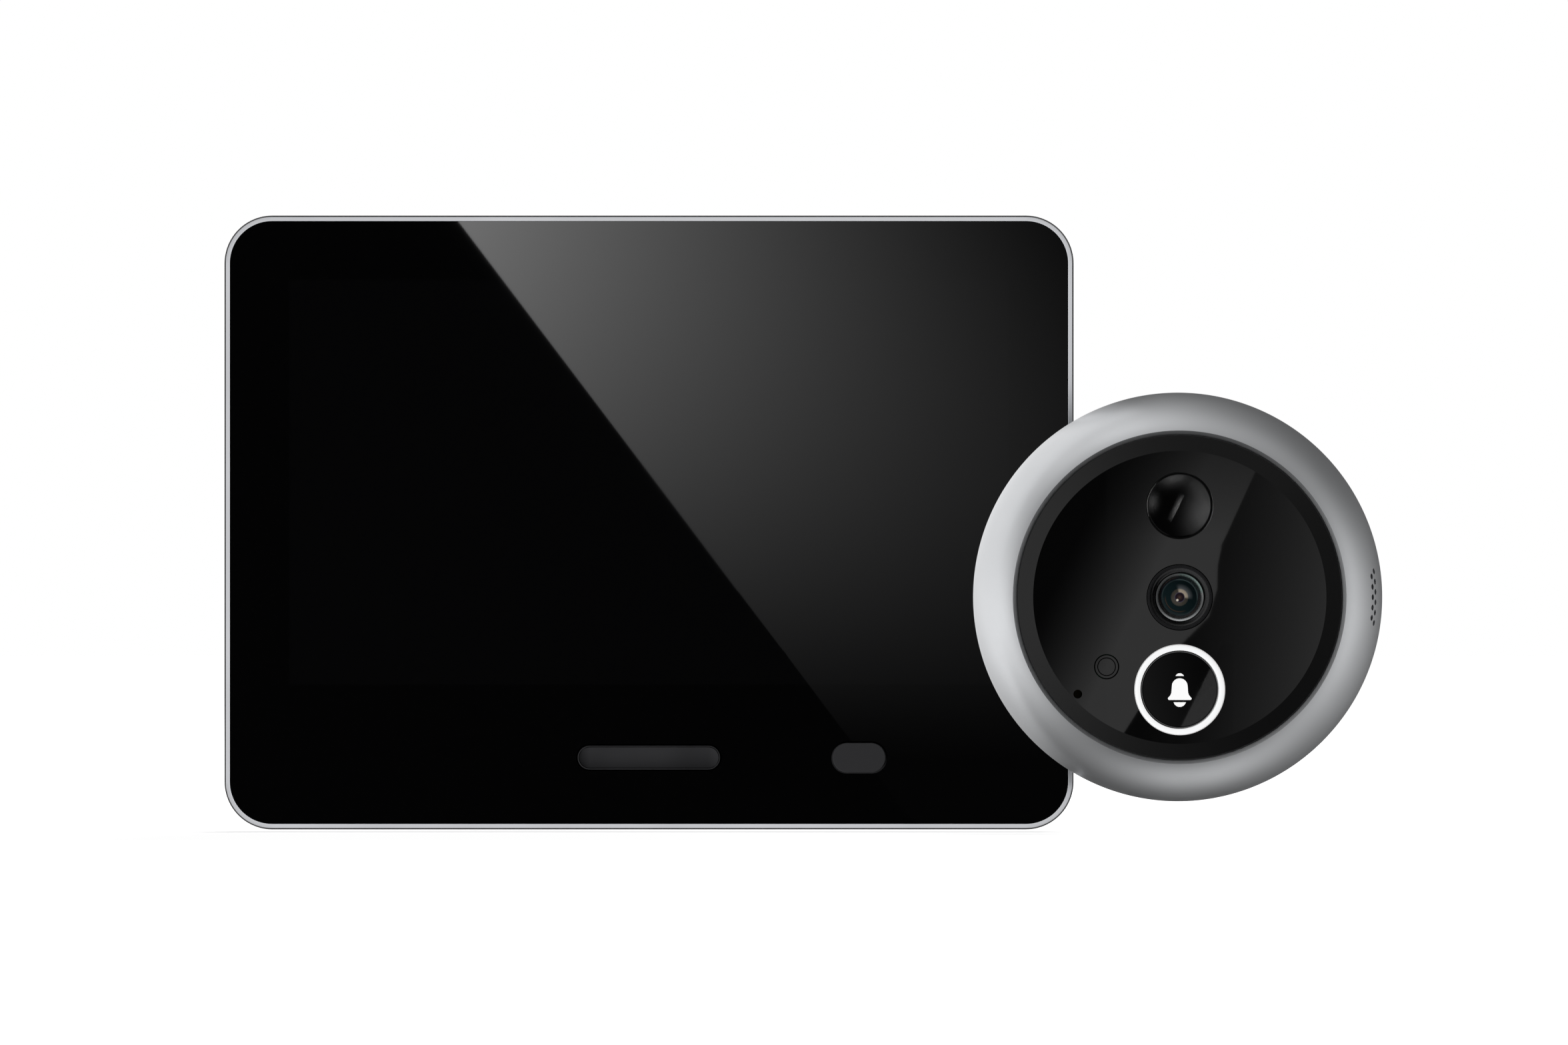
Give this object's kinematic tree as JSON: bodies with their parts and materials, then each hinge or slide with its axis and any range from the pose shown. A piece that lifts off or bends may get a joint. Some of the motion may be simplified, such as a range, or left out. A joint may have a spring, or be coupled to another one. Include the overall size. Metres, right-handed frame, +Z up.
{
  "type": "peephole door camera",
  "caption": "Door viewer set: flat glass-fronted indoor monitor that hooks onto a door bracket with a clamp sleeve, and a round metal outdoor bell camera with a threaded barrel.",
  "frame": {"origin": "axis of the clamp sleeve where it meets the door's inner face", "axes": "+Y along the clamp sleeve into the door, +Z up, +X to the right seen from the front"},
  "size_m": [0.1525, 0.078, 0.081],
  "materials": {
    "shell_plastic": "fine matt moulded texture",
    "rim_metal": "satin anodised",
    "cover_glass": "polished, black printed behind",
    "display_glass": "polished",
    "backlight_metal": "satin",
    "circuit_board": "solder mask",
    "shield_metal": "tinned",
    "chip_black": "matt",
    "battery_foil": "satin foil",
    "foam_black": "soft foam",
    "speaker_black": "matt",
    "socket_metal": "plated",
    "connector_plastic": "matt",
    "microphone_can": "plated",
    "antenna_film": "thin film",
    "switch_black": "matt",
    "screw_steel": "blackened",
    "home_key_black": "satin",
    "power_key_grey": "matt",
    "bracket_steel": "zinc plated",
    "pad_adhesive": "release film",
    "sleeve_metal": "turned",
    "bell_metal": "satin, bead blasted",
    "window_black": "polished",
    "bell_plastic": "matt",
    "seal_rubber": "matt",
    "pir_black": "polished",
    "pir_can": "plated",
    "lens_black": "matt",
    "lens_coating": "coated",
    "lens_inner_coating": "coated",
    "sensor_silicon": "polished",
    "light_guide": "satin",
    "lamp_package": "clear",
    "infrared_package": "clear dark",
    "button_black": "polished",
    "symbol_white": "satin",
    "sensor_window": "polished"
  },
  "bodies": {
    "door_mount": {"door_bracket": "bracket_steel", "bracket_pads": "pad_adhesive", "bell_housing": "bell_metal", "bell_window": "window_black", "bell_chassis": "bell_plastic", "bell_rear_cover": "bell_plastic", "bell_gasket": "foam_black", "threaded_barrel": "sleeve_metal", "barrel_o_ring": "seal_rubber", "barrel_grommet": "seal_rubber", "cover_screws": "screw_steel", "bell_board": "circuit_board", "bell_board_screws": "screw_steel", "bell_processor": "chip_black", "bell_ribbon_socket": "connector_plastic", "pir_lens": "pir_black", "pir_sensor": "pir_can", "lens_shroud": "lens_black", "lens_barrel": "lens_black", "lens_front_glass": "lens_coating", "lens_inner_glass": "lens_inner_coating", "lens_holder": "lens_black", "image_sensor": "sensor_silicon", "light_ring": "light_guide", "ring_leds": "lamp_package", "bell_switch": "switch_black", "infrared_leds": "infrared_package", "light_sensor_lens": "sensor_window", "light_sensor_chip": "lamp_package", "mic_boot": "seal_rubber", "bell_microphone": "microphone_can", "bell_speaker": "speaker_black"},
    "monitor": {"rear_shell": "shell_plastic", "metal_rim": "rim_metal", "cover_glass": "cover_glass", "display_cell": "display_glass", "display_backlight": "backlight_metal", "main_board": "circuit_board", "processor_shield": "shield_metal", "radio_shield": "shield_metal", "board_chips": "chip_black", "battery_cell_left": "battery_foil", "battery_cell_right": "battery_foil", "battery_foam": "foam_black", "monitor_speaker": "speaker_black", "usb_socket": "socket_metal", "ribbon_socket": "connector_plastic", "monitor_microphone": "microphone_can", "wifi_antenna": "antenna_film", "home_switch": "switch_black", "power_switch": "switch_black", "reset_switch": "switch_black", "case_screws": "screw_steel"},
    "clamp_sleeve": {"clamp_sleeve": "sleeve_metal"},
    "bell_button": {"bell_button": "button_black", "bell_symbol": "symbol_white"},
    "home_key": {"home_key": "home_key_black"},
    "power_key": {"power_key": "power_key_grey"},
    "reset_key": {"reset_key": "power_key_grey"}
  },
  "joints": [
    {"name": "monitor_lift", "type": "slide", "parent": "door_mount", "child": "monitor", "axis": [0, 0, 1], "range_m": [0, 0.006]},
    {"name": "sleeve_turn", "type": "hinge", "parent": "door_mount", "child": "clamp_sleeve", "pos_m": [0, 0, 0], "axis": [0, 1, 0], "continuous": true},
    {"name": "bell_press", "type": "slide", "parent": "door_mount", "child": "bell_button", "axis": [0, 1, 0], "range_m": [0, 0.0006], "stiffness_N_per_m": 2000},
    {"name": "home_press", "type": "slide", "parent": "monitor", "child": "home_key", "axis": [0, 1, 0], "range_m": [0, 0.0005], "stiffness_N_per_m": 2000},
    {"name": "power_press", "type": "slide", "parent": "monitor", "child": "power_key", "axis": [0, 1, 0], "range_m": [0, 0.0005], "stiffness_N_per_m": 2000},
    {"name": "reset_press", "type": "slide", "parent": "monitor", "child": "reset_key", "axis": [1, 0, 0], "range_m": [0, 0.0003], "stiffness_N_per_m": 2000}
  ]
}
